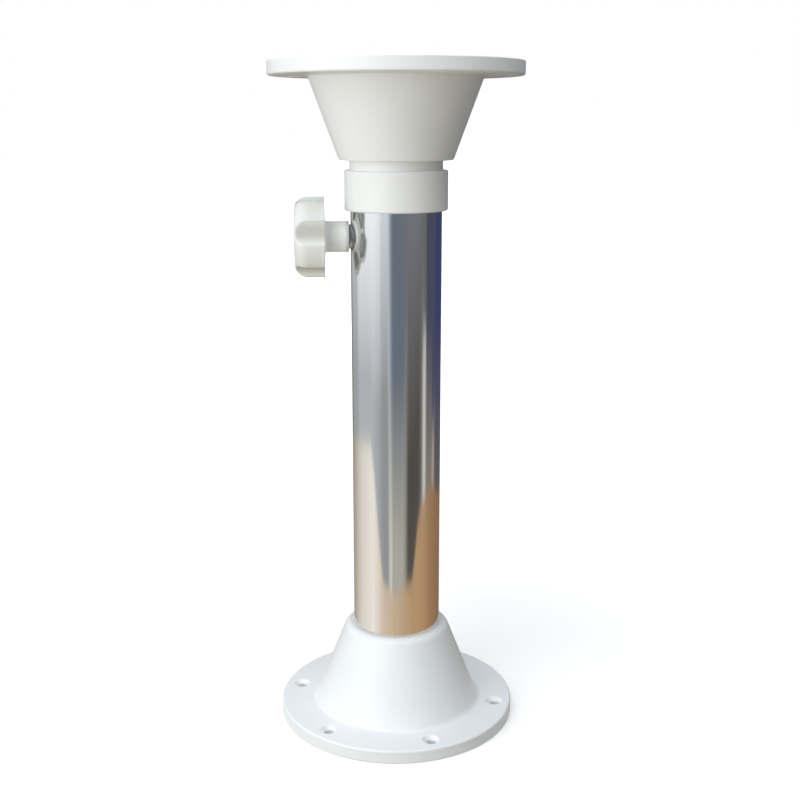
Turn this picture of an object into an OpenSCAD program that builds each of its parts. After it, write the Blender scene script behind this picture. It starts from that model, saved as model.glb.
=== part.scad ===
// Telescopic table pedestal for a boat: a ribbed foot, a fixed outer tube
// with a star-knob clamp, and a sliding, turning inner tube under a top plate.
// The column axis is Z, the mounting face of the foot lies at z = 0 and the
// knob points to -X. Units are millimetres.

/* [Column] */
// Height from the foot's mounting face to the top face, pushed down
collapsed_h = 450; // [430:5:500]
// Free height between the lower plug and the piston, pushed down
piston_room = 10.7; // [8:0.1:60]
// Outside diameter of the outer tube
tube_od = 60.3; // [58:0.1:62]
// Wall of the outer tube
tube_wall = 2.65; // [2:0.05:3]
// Outside diameter of the inner tube
inner_od = 50; // [47:0.5:51]
// Wall of the inner tube
inner_wall = 2.5; // [2:0.1:3.5]

/* [Foot] */
// Diameter of the foot's plate
foot_plate_d = 165; // [160:1:185]
// Thickness of the foot's plate at its rim
foot_plate_t = 9; // [8:0.5:11]
// Diameter of the cone where it meets the plate
foot_cone_d = 115.4; // [112:0.2:122]
// Lean of the cone from the vertical, in degrees
foot_lean = 21.2; // [20:0.1:23]
// Height of the foot up to the top of its lip
foot_h = 66; // [64:0.5:70]
// Radius of the fillet at the bottom of the cone
foot_fillet = 4; // [2:0.5:6]
// Radius that rounds the lip round the tube
lip_round = 6; // [4:0.1:6.2]
// Wall of the bush between the foot and the tube
bush_t = 2.4; // [2:0.1:2.8]
// Length of that bush
bush_len = 42; // [30:1:46]

/* [Top mount] */
// Diameter of the top plate
top_plate_d = 165; // [160:1:185]
// Thickness of the top plate at its rim
top_plate_t = 9; // [8:0.5:11]
// Diameter of the cone where it meets the top plate
top_cone_d = 113.6; // [104:0.1:118]
// Diameter of the cone at its lower end
top_cone_end_d = 75.2; // [70:0.1:76]
// Distance from the top face down to the end of the cone
top_cone_h = 61.6; // [57:0.1:63]
// Diameter of the neck under the cone
neck_d = 61.2; // [59:0.1:62]
// Length of the neck
neck_h = 6.5; // [4:0.5:8]
// Radius of the fillet between the cone and the top plate
top_fillet = 1.5; // [1:0.5:3]

/* [Moulding] */
// Rounding of the plate rims
rim_round = 1.4; // [0.8:0.2:2]
// Wall of the cones
shell_t = 4; // [3:0.5:5]
// Thickness of the plates over their pockets
skin_t = 4.5; // [3.5:0.5:5]
// Wall of the plate rims
rim_t = 4; // [3:0.5:5]
// Wall of the sockets that hold the tubes
sleeve_t = 3; // [2.5:0.5:3.5]
// Thickness of the ribs
rib_t = 3; // [2:0.5:4]
// Number of ribs in each plate
rib_count = 12; // [12:6:18]
// Thickness of the socket floors that the bolts clamp
floor_t = 6; // [5:0.5:8]
// Depth of the bolt recess under a socket floor
recess_h = 10; // [9.5:0.5:12]

/* [Fixing screws] */
// Number of screw holes in each plate
screw_count = 6; // [3:1:6]
// Diameter of the circle that the holes lie on
screw_circle_d = 142; // [138:1:146]
// Diameter of each hole
screw_hole_d = 6.5; // [5:0.5:7]
// Diameter of the countersink
screw_head_d = 11.5; // [10:0.5:12.5]
// Diameter of the boss under each hole
boss_d = 16; // [14:1:18]
// Angle from the knob's plane to the nearest hole, in degrees
screw_start = 15; // [0:5:25]

/* [Collar and guides] */
// Outside diameter of the collar on the outer tube
collar_d = 68; // [65:0.1:70]
// Height of the collar
collar_h = 25.8; // [20:0.2:30]
// Thickness of the collar's lip over the end of the tube
collar_lip_t = 3.1; // [2:0.1:4]
// Edge break at the ends of the collar
collar_edge = 0.8; // [0.4:0.2:1.2]
// Length of the guide sleeve in the top of the outer tube
guide_len = 63; // [58:1:70]
// Height of the glide ring on the piston
ring_h = 10; // [6:1:14]
// Width of the split in the glide ring
ring_split = 2; // [1:0.5:4]
// Thickness of the piston's head below the glide ring
piston_head_t = 4; // [3:0.5:6]
// Length of the plugs inside the tubes
plug_len = 24; // [20:1:30]

/* [Clamp] */
// Distance from the collar's top down to the knob's axis
clamp_drop = 43; // [42:0.5:48]
// Diameter of the knob's stud
stud_d = 10; // [8:1:12]
// Diameter of the threaded insert's flange
insert_flange_d = 16; // [15:0.5:18]
// Diameter of the insert's neck in the tube wall
insert_neck_d = 13; // [13:0.5:14]
// How far the insert's flange stands off the tube
insert_stand = 0.85; // [0.6:0.05:1]
// Diameter of the thrust pad
pad_d = 8.2; // [7:0.1:8.4]
// Thickness of the thrust pad at its middle
pad_t = 1.2; // [0.8:0.1:1.6]
// Diameter of the pad's spigot in the stud
spigot_d = 3; // [2:0.5:4]
// Length of the pad's spigot
spigot_len = 4; // [3:0.5:6]

/* [Knob] */
// Diameter over the knob's lobes
knob_d = 54.2; // [52:0.2:60]
// Diameter of the circle that touches the knob's hollows
knob_valley_d = 43.6; // [42:0.2:46]
// Number of lobes
lobe_count = 5; // [4:1:6]
// Radius of each lobe's outer curve
lobe_r = 18; // [15:0.5:22]
// Radius of each hollow between two lobes
hollow_r = 10.5; // [8:0.5:11]
// Rounding where a lobe meets a hollow
lobe_edge = 1.5; // [0.8:0.1:2]
// Thickness of the knob's head
knob_t = 20.3; // [18:0.1:23]
// Radius of the rounding round the head's outer face
shoulder_r = 11.4; // [11:0.1:14]
// Length of that rounding along the axis
shoulder_h = 10; // [8:0.5:10.5]
// Doming of the head's outer face
knob_crown = 0.7; // [0.3:0.1:1.5]
// Diameter of the knob's hub
hub_d = 20.2; // [19:0.2:23]
// Length of the hub between the tube and the head
hub_len = 15.8; // [12:0.2:20]
// Wall of the knob round its cored back
knob_wall = 3; // [2.5:0.5:3.5]
// Depth of the pockets in the knob's back
knob_pocket_h = 12; // [8:0.5:13]
// Turn of the lobes from the vertical, in degrees
lobe_turn = 29; // [0:1:36]

/* [Bolts] */
// Diameter of the bolts that hold the plugs to the mouldings
bolt_d = 8; // [6:1:8]
// Width across flats of the bolt heads
bolt_af = 13; // [12:0.5:14]
// Height of the bolt heads
bolt_head_h = 5.3; // [4.5:0.1:5.6]
// Length of the bolts under the head
bolt_len = 25; // [20:1:28]
// Diameter of the flat washers
washer_d = 16; // [15:0.5:18]
// Thickness of the flat washers
washer_t = 1.6; // [1.2:0.1:1.8]
// Diameter of the spring washers
spring_washer_d = 14.2; // [13:0.2:15]
// Thickness of the spring washers
spring_washer_t = 2; // [1.6:0.1:2]

/* [Clearances] */
// Radial gap between pieces that slide on each other
running_fit = 0.05; // [0.02:0.01:0.08]
// Radial gap between pieces that are fixed in each other
seat_fit = 0.03; // [0.01:0.01:0.05]
// Gap where moving pieces face each other at rest
face_gap = 0.3; // [0.25:0.05:0.4]
// Gap between the collar's lip and the inner tube
wiper_gap = 0.5; // [0.4:0.1:1]

/* [Hidden] */
$fn = 96;
over = 1;
arc_steps = 6;
white = "#f2f3f1";
nylon = "#e9eae6";
alloy = "#c3c7cb";
steel = "#8f9397";

// Radii of the two tubes
tube_r = tube_od / 2;
bore_r = tube_r - tube_wall;
inner_r = inner_od / 2;
inner_bore_r = inner_r - inner_wall;

// Heights along the column
socket_floor = recess_h + floor_t;
collar_top = collapsed_h - top_cone_h - neck_h;
collar_bottom = collar_top - collar_h;
tube_top = collar_top - collar_lip_t;
inner_top = collapsed_h - socket_floor;
guide_bottom = tube_top - guide_len;
clamp_z = collar_top - clamp_drop;

// Piston groove that carries the glide ring, and the inner tube's lower end
// above it. The column pulls out until the ring is under the guide sleeve,
// which is a stroke of 250 mm at these sizes.
groove_h = ring_h + 2 * face_gap;
inner_bottom = socket_floor + plug_len + piston_room + piston_head_t + groove_h;

// Foot: the bush's socket and the cone's upper end, which the lip rounds off
socket_r = tube_r + bush_t + 2 * seat_fit;
foot_cone_r = foot_cone_d / 2;
lip_centre_z = foot_h - lip_round;
lip_touch_z = lip_centre_z + lip_round * sin(foot_lean);
lip_touch_r = foot_cone_r - (lip_touch_z - foot_plate_t) * tan(foot_lean);
lip_centre_r = lip_touch_r - lip_round * cos(foot_lean);

// Top mount: the cone's lean and the socket for the inner tube
top_lean = atan((top_cone_d - top_cone_end_d) / 2 / (top_cone_h - top_plate_t));
top_socket_r = inner_r + seat_fit;
top_edge = 0.8;

// Bolt recess in a moulding, and the ring of wall round it
wrench_r = bolt_af / 2 + 6;
wrench_wall = 3;

// Clamp, measured outwards from the column's axis
insert_in = inner_r + 0.8;
insert_out = tube_r + insert_stand;
pad_face = inner_r + face_gap;
stud_in = pad_face + pad_t + face_gap;
hub_in = insert_out + face_gap + 0.1;
head_in = hub_in + hub_len;
head_out = head_in + knob_t;
stud_out = head_out - 7;
insert_relief = 0.3;

// Glide ring, and the piston inside and under it
ring_out_r = bore_r - running_fit;
ring_in_r = inner_r - 1.7;
groove_r = ring_in_r - face_gap;
piston_head_r = ring_out_r - 0.7;

// Points along an arc about a centre, from one angle to another
function arc_points(centre, r, from, to, steps = arc_steps) =
    [for (i = [0:steps]) centre + r * [cos(from + (to - from) * i / steps),
                                       sin(from + (to - from) * i / steps)]];

// Outline of a plate with a cone on it, up to the cone's upper end. The
// first point is on the axis, and upper continues the outline.
function cone_outline(plate_r, plate_t, cone_r, lean, fillet, upper) =
    concat([[0, 0], [plate_r - rim_round / 3, 0], [plate_r, rim_round / 3]],
           arc_points([plate_r - rim_round, plate_t - rim_round], rim_round, 0, 90),
           arc_points([cone_r + fillet * (1 - sin(lean)) / cos(lean), plate_t + fillet],
                      fillet, 270, 180 + lean),
           upper);

// Radius of the inside of a cone's wall at height z
function core_r(z, plate_t, cone_r, lean) =
    cone_r - (z - plate_t) * tan(lean) - shell_t / cos(lean);

// Height at which the pocket inside a cone ends
function core_top(plate_t, cone_r, lean, sleeve_r, cone_h) =
    min(plate_t + (cone_r - shell_t / cos(lean) - sleeve_r) / tan(lean) - 2,
        cone_h - shell_t);

// Moulded plate with a cone and a socket, seen with its mounting face down.
// The back is cored to even walls, with radial ribs and screw bosses.
module cored_moulding(plate_d, plate_t, cone_d, lean, fillet, upper, cone_h, socket) {
    sleeve_r = socket + sleeve_t;
    rim_in = plate_d / 2 - rim_t;
    roof = plate_t - skin_t;
    peak = core_top(plate_t, cone_d / 2, lean, sleeve_r, cone_h);
    roof_r = core_r(roof, plate_t, cone_d / 2, lean);
    peak_r = core_r(peak, plate_t, cone_d / 2, lean);
    difference() {
        union() {
            difference() {
                rotate_extrude()
                    polygon(cone_outline(plate_d / 2, plate_t, cone_d / 2, lean, fillet, upper));
                rotate_extrude()
                    polygon([[sleeve_r, -over], [rim_in, -over], [rim_in, roof],
                             [roof_r, roof], [peak_r, peak], [sleeve_r, peak]]);
                translate([0, 0, -over])
                    cylinder(r = socket, h = recess_h + over);
            }
            for (i = [0:rib_count - 1])
                rotate(180 - screw_start + i * 360 / rib_count)
                    radial_rib([[sleeve_r - over, 0], [rim_in + over, 0],
                                [rim_in + over, roof + over], [roof_r + over, roof + over],
                                [peak_r + over, peak + over], [sleeve_r - over, peak + over]]);
            for (i = [0:rib_count / 2 - 1])
                rotate(180 - screw_start + i * 720 / rib_count)
                    radial_rib([[wrench_r + over, 0], [socket + over, 0],
                                [socket + over, recess_h + over], [wrench_r + over, recess_h + over]]);
            cylinder(r = wrench_r + wrench_wall, h = recess_h + over);
            at_screws()
                cylinder(d = boss_d, h = roof + over);
        }
        translate([0, 0, -over])
            cylinder(r = wrench_r, h = recess_h + over);
        cylinder(d = bolt_d + 0.5, h = socket_floor + over);
        translate([0, 0, socket_floor])
            cylinder(r = socket, h = collapsed_h);
        at_screws() {
            translate([0, 0, -over])
                cylinder(d = screw_hole_d, h = plate_t + 2 * over);
            countersink(plate_t);
        }
    }
}

// Flat rib standing on the XZ plane, with the given outline
module radial_rib(outline) {
    translate([0, rib_t / 2, 0])
        rotate([90, 0, 0])
            linear_extrude(rib_t)
                polygon(outline);
}

// The places of the fixing screws, the first one beside the knob
module at_screws() {
    for (i = [0:screw_count - 1])
        rotate(180 - screw_start + i * 360 / screw_count)
            translate([screw_circle_d / 2, 0, 0])
                children();
}

// 90 degree countersink that opens at height z
module countersink(z) {
    depth = (screw_head_d - screw_hole_d) / 2;
    translate([0, 0, z - depth])
        cylinder(d1 = screw_hole_d, d2 = screw_head_d + 2 * over, h = depth + over);
}

// Round plug in a tube's end, bored for the bolt and hollow behind it
module end_plug(r) {
    edge = 0.6;
    difference() {
        rotate_extrude()
            polygon([[bolt_d / 2 + seat_fit, 0], [r - edge, 0], [r, edge],
                     [r, plug_len - edge], [r - edge, plug_len],
                     [bolt_d / 2 + seat_fit, plug_len]]);
        translate([0, 0, plug_len - 6])
            cylinder(r = r - 5, h = 6 + over);
    }
}

// Hexagon bolt with its head below z = 0 and its shank above
module hex_bolt() {
    translate([0, 0, -bolt_head_h])
        cylinder(r = bolt_af / 2 / cos(30), h = bolt_head_h, $fn = 6);
    cylinder(d = bolt_d, h = bolt_len - 1);
    translate([0, 0, bolt_len - 1])
        cylinder(d1 = bolt_d, d2 = bolt_d - 1.5, h = 1);
}

module flat_washer() {
    difference() {
        cylinder(d = washer_d, h = washer_t);
        translate([0, 0, -over])
            cylinder(d = bolt_d + 0.4, h = washer_t + 2 * over);
    }
}

// Spring washer, split at one side
module spring_washer() {
    difference() {
        cylinder(d = spring_washer_d, h = spring_washer_t);
        translate([0, 0, -over])
            cylinder(d = bolt_d + 0.2, h = spring_washer_t + 2 * over);
        translate([0, -0.6, -over])
            cube([spring_washer_d, 1.2, spring_washer_t + 2 * over]);
    }
}

// Bolt group in a moulding's recess: spring washer on the head, then the flat one
module bolt_place() {
    translate([0, 0, recess_h - washer_t - spring_washer_t])
        children();
}

// Turns the mounting face of a moulding up to the top of the column
module on_top() {
    translate([0, 0, collapsed_h])
        mirror([0, 0, 1])
            children();
}

// Turns Z outwards along the knob's axis
module on_clamp_axis() {
    translate([0, 0, clamp_z])
        rotate([0, -90, 0])
            children();
}

module base_flange() {
    lip = concat(arc_points([lip_centre_r, lip_centre_z], lip_round, foot_lean, 90),
                 [[0, foot_h]]);
    color(white)
        cored_moulding(foot_plate_d, foot_plate_t, foot_cone_d, foot_lean, foot_fillet,
                       lip, foot_h, socket_r);
}

// White bush that centres the outer tube in the foot
module base_bush() {
    r_in = tube_r + seat_fit;
    r_out = socket_r - seat_fit;
    edge = 0.6;
    color(nylon)
        rotate_extrude()
            polygon([[r_in, foot_h - bush_len], [r_out - edge, foot_h - bush_len],
                     [r_out, foot_h - bush_len + edge], [r_out, foot_h - edge],
                     [r_out - edge, foot_h], [r_in, foot_h]]);
}

module outer_tube() {
    color(alloy)
        difference() {
            translate([0, 0, socket_floor])
                cylinder(r = tube_r, h = tube_top - socket_floor);
            translate([0, 0, socket_floor - over])
                cylinder(r = bore_r, h = tube_top - socket_floor + 2 * over);
            on_clamp_axis()
                cylinder(d = insert_neck_d + 2 * seat_fit, h = tube_od);
        }
}

module tube_plug() {
    color(alloy)
        translate([0, 0, socket_floor])
            end_plug(bore_r - seat_fit);
}

module base_bolt() {
    color(steel)
        bolt_place()
            hex_bolt();
}

module base_spring_washer() {
    color(steel)
        bolt_place()
            spring_washer();
}

module base_washer() {
    color(steel)
        translate([0, 0, recess_h - washer_t])
            flat_washer();
}

// Collar over the top of the outer tube, with a lip that wipes the inner tube
module collar() {
    r_out = collar_d / 2;
    r_in = tube_r + seat_fit;
    r_lip = inner_r + wiper_gap;
    color(white)
        rotate_extrude()
            polygon(concat([[r_in, collar_bottom], [r_out - collar_edge, collar_bottom],
                            [r_out, collar_bottom + collar_edge]],
                           arc_points([r_out - collar_edge, collar_top - collar_edge],
                                      collar_edge, 0, 90, 4),
                           [[r_lip + collar_edge, collar_top], [r_lip, collar_top - collar_edge],
                            [r_lip, tube_top + seat_fit], [r_in, tube_top + seat_fit]]));
}

// Sleeve in the top of the outer tube, bored across for the clamp
module guide_sleeve() {
    r_out = bore_r - seat_fit;
    r_in = inner_r + running_fit;
    edge = 0.6;
    color(nylon)
        difference() {
            rotate_extrude()
                polygon([[r_in + edge, guide_bottom], [r_out - edge, guide_bottom],
                         [r_out, guide_bottom + edge], [r_out, tube_top],
                         [r_in + edge, tube_top], [r_in, tube_top - edge],
                         [r_in, guide_bottom + edge]]);
            on_clamp_axis()
                cylinder(d = insert_flange_d + 2 * insert_relief, h = tube_od);
        }
}

// Threaded insert in the tube wall: a flange outside, a bulge inside and a
// neck between them that fills the hole in the wall
module clamp_insert() {
    color(steel)
        difference() {
            on_clamp_axis()
                translate([0, 0, insert_in])
                    cylinder(d = insert_flange_d, h = insert_out - insert_in);
            difference() {
                translate([0, 0, clamp_z - insert_flange_d])
                    cylinder(r = tube_r + seat_fit, h = 2 * insert_flange_d);
                translate([0, 0, clamp_z - insert_flange_d - over])
                    cylinder(r = bore_r - seat_fit, h = 2 * insert_flange_d + 2 * over);
                on_clamp_axis()
                    cylinder(d = insert_neck_d, h = tube_od);
            }
            on_clamp_axis()
                cylinder(d = stud_d + 2 * running_fit, h = tube_od);
        }
}

// Split ring that runs in the outer tube, in the piston's groove
module glide_ring() {
    color(nylon)
        translate([0, 0, inner_bottom - face_gap - ring_h])
            difference() {
                cylinder(r = ring_out_r, h = ring_h);
                translate([0, 0, -over])
                    cylinder(r = ring_in_r, h = ring_h + 2 * over);
                translate([0, -ring_split / 2, -over])
                    cube([tube_od, ring_split, ring_h + 2 * over]);
            }
}

module inner_tube() {
    color(alloy)
        translate([0, 0, inner_bottom])
            difference() {
                cylinder(r = inner_r, h = inner_top - inner_bottom);
                translate([0, 0, -over])
                    cylinder(r = inner_bore_r, h = inner_top - inner_bottom + 2 * over);
            }
}

// Plug and piston in one at the bottom of the inner tube
module end_piston() {
    r_in = inner_bore_r - seat_fit;
    bottom = inner_bottom - groove_h - piston_head_t;
    wall = 4;
    edge = 0.6;
    color(nylon)
        difference() {
            rotate_extrude()
                polygon([[0, bottom], [piston_head_r - edge, bottom],
                         [piston_head_r, bottom + edge],
                         [piston_head_r, inner_bottom - groove_h],
                         [groove_r, inner_bottom - groove_h], [groove_r, inner_bottom],
                         [r_in, inner_bottom], [r_in, inner_bottom + plug_len - edge],
                         [r_in - edge, inner_bottom + plug_len],
                         [0, inner_bottom + plug_len]]);
            translate([0, 0, inner_bottom])
                cylinder(r = r_in - wall, h = plug_len + over);
        }
}

module top_mount() {
    end_r = top_cone_end_d / 2;
    end = concat(arc_points([end_r - top_edge, top_cone_h - top_edge], top_edge, top_lean, 90, 3),
                 [[neck_d / 2, top_cone_h], [neck_d / 2, top_cone_h + neck_h],
                  [0, top_cone_h + neck_h]]);
    color(white)
        on_top()
            cored_moulding(top_plate_d, top_plate_t, top_cone_d, top_lean, top_fillet,
                           end, top_cone_h, top_socket_r);
}

module top_plug() {
    color(alloy)
        on_top()
            translate([0, 0, socket_floor])
                end_plug(inner_bore_r - seat_fit);
}

module top_bolt() {
    color(steel)
        on_top()
            bolt_place()
                hex_bolt();
}

module top_spring_washer() {
    color(steel)
        on_top()
            bolt_place()
                spring_washer();
}

module top_washer() {
    color(steel)
        on_top()
            translate([0, 0, recess_h - washer_t])
                flat_washer();
}

// Pad on the stud's nose, hollowed to the inner tube's curve
module thrust_pad() {
    color(nylon)
        difference() {
            on_clamp_axis()
                translate([0, 0, inner_r - 2]) {
                    cylinder(d = pad_d, h = pad_face + pad_t - inner_r + 2);
                    cylinder(d = spigot_d, h = pad_face + pad_t - inner_r + 2 + spigot_len);
                }
            translate([0, 0, clamp_z - pad_d])
                cylinder(r = pad_face, h = 2 * pad_d);
        }
}

// Stud that is moulded into the knob, with a hole for the pad's spigot
module knob_stud() {
    point = 0.8;
    color(steel)
        on_clamp_axis()
            difference() {
                union() {
                    translate([0, 0, stud_in])
                        cylinder(d1 = stud_d - 2 * point, d2 = stud_d, h = point);
                    translate([0, 0, stud_in + point])
                        cylinder(d = stud_d, h = stud_out - stud_in - point);
                }
                translate([0, 0, stud_in - over])
                    cylinder(d = spigot_d + 2 * running_fit, h = spigot_len + face_gap + over);
            }
}

// Point list turned about the origin
function turned(points, a) =
    [for (p = points) [p.x * cos(a) - p.y * sin(a), p.x * sin(a) + p.y * cos(a)]];

// Centre of the circle of radius edge that rounds the corner between a lobe's
// circle, which it touches from inside, and a hollow's, which it touches from outside
function corner_centre(lobe_at, lobe, hollow_at, hollow, edge) =
    let (apart = norm(hollow_at - lobe_at),
         along = (hollow_at - lobe_at) / apart,
         a = lobe - edge,
         b = hollow + edge,
         step = (a * a - b * b + apart * apart) / (2 * apart),
         off = sqrt(a * a - step * step))
    lobe_at + step * along + off * [along.y, -along.x];

// Outline of broad lobes with round hollows between them, moved in by inset,
// with its corners rounded by edge
function lobed_outline(inset, edge) =
    let (half = 180 / lobe_count,
         lobe = lobe_r - inset,
         hollow = hollow_r + inset,
         lobe_at = [knob_d / 2 - lobe_r, 0],
         hollow_at = (knob_valley_d / 2 + hollow_r) * [cos(half), sin(half)],
         corner = corner_centre(lobe_at, lobe, hollow_at, hollow, edge),
         to_lobe = atan2(corner.y, corner.x - lobe_at.x),
         to_hollow = atan2(hollow_at.y - corner.y, hollow_at.x - corner.x),
         sweep = (to_hollow - half) * 3 / 4)
    [for (k = [0:lobe_count - 1])
        each turned(concat(
            arc_points([corner.x, -corner.y], edge, -to_hollow, -to_lobe, 4),
            arc_points(lobe_at, lobe, -to_lobe * 3 / 4, to_lobe * 3 / 4),
            arc_points(corner, edge, to_lobe, to_hollow, 4),
            arc_points(hollow_at, hollow, 180 + half + sweep, 180 + half - sweep)),
            2 * half * k)];

// Profile of the head: straight at the back, rounded round the outer face
function head_outline() =
    let (r = knob_d / 2,
         z = head_out - knob_crown,
         rounding = arc_points([r - shoulder_r, z - shoulder_h], shoulder_r, 0,
                               asin(shoulder_h / shoulder_r)),
         face_r = r - shoulder_r + sqrt(pow(shoulder_r, 2) - pow(shoulder_h, 2)))
    concat([[0, head_in], [r, head_in]], rounding,
           [for (i = [1:4]) [face_r * (1 - i / 4),
                             head_out - knob_crown * pow(1 - i / 4, 2)]]);

// Star knob: domed lobed head, hub, and a pocket in the back of each lobe
module knob_body() {
    color(white)
        on_clamp_axis()
            rotate(lobe_turn)
                difference() {
                    union() {
                        intersection() {
                            translate([0, 0, head_in])
                                linear_extrude(knob_t)
                                    polygon(lobed_outline(0, lobe_edge));
                            rotate_extrude()
                                polygon(head_outline());
                        }
                        translate([0, 0, hub_in])
                            cylinder(d = hub_d, h = hub_len + over);
                    }
                    difference() {
                        translate([0, 0, head_in - over])
                            linear_extrude(knob_pocket_h + over)
                                polygon(lobed_outline(knob_wall, lobe_edge / 3));
                        translate([0, 0, head_in - 2 * over])
                            cylinder(d = hub_d, h = knob_pocket_h + 4 * over);
                        for (i = [0:lobe_count - 1])
                            rotate((i + 0.5) * 360 / lobe_count)
                                translate([0, -rib_t / 2, head_in - 2 * over])
                                    cube([knob_d / 2, rib_t, knob_pocket_h + 4 * over]);
                    }
                    translate([0, 0, hub_in - over])
                        cylinder(r = stud_d / 2 + seat_fit, h = stud_out + seat_fit - hub_in + over);
                }
}

base_flange();
base_bush();
outer_tube();
tube_plug();
base_bolt();
base_washer();
base_spring_washer();
collar();
guide_sleeve();
clamp_insert();
glide_ring();
inner_tube();
end_piston();
top_mount();
top_plug();
top_bolt();
top_washer();
top_spring_washer();
thrust_pad();
knob_body();
knob_stud();
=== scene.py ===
import math

import bmesh
import bpy
from bpy.props import FloatProperty, FloatVectorProperty, IntProperty, PointerProperty
from mathutils import Matrix, Vector


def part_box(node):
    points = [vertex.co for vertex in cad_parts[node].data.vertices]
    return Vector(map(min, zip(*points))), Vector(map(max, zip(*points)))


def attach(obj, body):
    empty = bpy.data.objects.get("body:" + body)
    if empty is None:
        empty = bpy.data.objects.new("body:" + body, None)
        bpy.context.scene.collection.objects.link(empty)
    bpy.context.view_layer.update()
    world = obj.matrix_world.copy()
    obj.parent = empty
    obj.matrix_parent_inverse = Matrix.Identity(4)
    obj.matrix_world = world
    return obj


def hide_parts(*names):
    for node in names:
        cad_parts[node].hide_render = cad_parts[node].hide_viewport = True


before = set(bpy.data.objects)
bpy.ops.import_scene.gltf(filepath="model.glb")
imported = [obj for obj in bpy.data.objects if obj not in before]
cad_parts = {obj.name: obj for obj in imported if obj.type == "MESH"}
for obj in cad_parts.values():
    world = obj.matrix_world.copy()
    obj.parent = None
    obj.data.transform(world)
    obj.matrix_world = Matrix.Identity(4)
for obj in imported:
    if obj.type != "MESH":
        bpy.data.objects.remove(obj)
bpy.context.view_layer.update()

bl_info = {
    "name": "Telescopic table pedestal",
    "version": (1, 0, 0),
    "blender": (4, 5, 0),
    "location": "View3D > Sidebar > Pedestal",
    "description": "Finishes, knob, threads and studio for a telescopic boat table pedestal",
    "category": "Object",
}

MM = 0.001
KNOB_AXIS_Z = sum(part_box("clamp_insert")[i].z for i in (0, 1)) / 2


# Small helpers

def linear(hex_colour):
    """sRGB hex, such as F2F3F1, as a linear RGBA colour."""
    parts = [int(hex_colour[i:i + 2], 16) / 255 for i in (0, 2, 4)]
    return tuple(c / 12.92 if c <= 0.04045 else ((c + 0.055) / 1.055) ** 2.4 for c in parts) + (1.0,)


def per_metre(size_mm):
    """Noise scale whose features are about size_mm across."""
    return 1000 / size_mm


def add_node(tree, kind, settings=None, **inputs):
    """Adds a node, sets its properties, and sets or links its inputs by name."""
    made = tree.nodes.new(kind)
    for name, value in (settings or {}).items():
        setattr(made, name, value)
    for name, value in inputs.items():
        socket = made.inputs[name.replace("_", " ")]
        if isinstance(value, bpy.types.NodeSocket):
            tree.links.new(value, socket)
        else:
            socket.default_value = value
    return made


def new_surface(name):
    """A material with a Principled shader, its node tree and the object's own coordinates."""
    material = bpy.data.materials.new(name)
    material.use_nodes = True
    tree = material.node_tree
    shader = tree.nodes["Principled BSDF"]
    place = add_node(tree, "ShaderNodeTexCoord").outputs["Object"]
    return material, tree, shader, place


def fine_noise(tree, place, size_mm, detail=3.0, stretch=(1, 1, 1)):
    """Noise with features of size_mm, drawn out along an axis by a stretch below 1."""
    mapped = add_node(tree, "ShaderNodeMapping", {"vector_type": "TEXTURE"}, Vector=place,
                      Scale=tuple(1 / s for s in stretch))
    return add_node(tree, "ShaderNodeTexNoise", Vector=mapped.outputs["Vector"],
                    Scale=per_metre(size_mm), Detail=detail).outputs["Fac"]


def spread(tree, value, low, high):
    """Maps noise, which mostly lies between 0.3 and 0.7, to low and high."""
    return add_node(tree, "ShaderNodeMapRange", Value=value, From_Min=0.3, From_Max=0.7,
                    To_Min=low, To_Max=high).outputs["Result"]


def tint(tree, factor, colour_a, colour_b):
    """Mixes two hex colours by a factor."""
    mix = add_node(tree, "ShaderNodeMix", {"data_type": "RGBA"})
    tree.links.new(factor, mix.inputs["Factor"])
    mix.inputs["A"].default_value = linear(colour_a)
    mix.inputs["B"].default_value = linear(colour_b)
    return mix.outputs["Result"]


def bump(tree, height, depth_mm, below=None):
    """Bump of depth_mm, on top of another bump if there is one."""
    extra = {"Normal": below} if below else {}
    return add_node(tree, "ShaderNodeBump", Height=height, Distance=depth_mm * MM,
                    Strength=1.0, **extra).outputs["Normal"]


def link(tree, source, shader, name):
    tree.links.new(source, shader.inputs[name])


# Materials, each named for the real one and the way it was made

def moulded_nylon_white(name, colour_a, colour_b, roughness):
    """White glass-filled nylon, injection moulded in a spark-eroded tool: an even
    satin gloss with a very fine grain and faint sink where the walls meet the ribs."""
    material, tree, shader, place = new_surface(name)
    shader.inputs["IOR"].default_value = 1.53
    blotches = fine_noise(tree, place, 30, 2.0)
    link(tree, tint(tree, blotches, colour_a, colour_b), shader, "Base Color")
    grain = fine_noise(tree, place, 0.9, 4.0)
    link(tree, spread(tree, grain, roughness - 0.04, roughness + 0.05), shader, "Roughness")
    sink = bump(tree, fine_noise(tree, place, 16, 1.0), 0.05)
    link(tree, bump(tree, grain, 0.012, sink), shader, "Normal")
    return material


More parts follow.
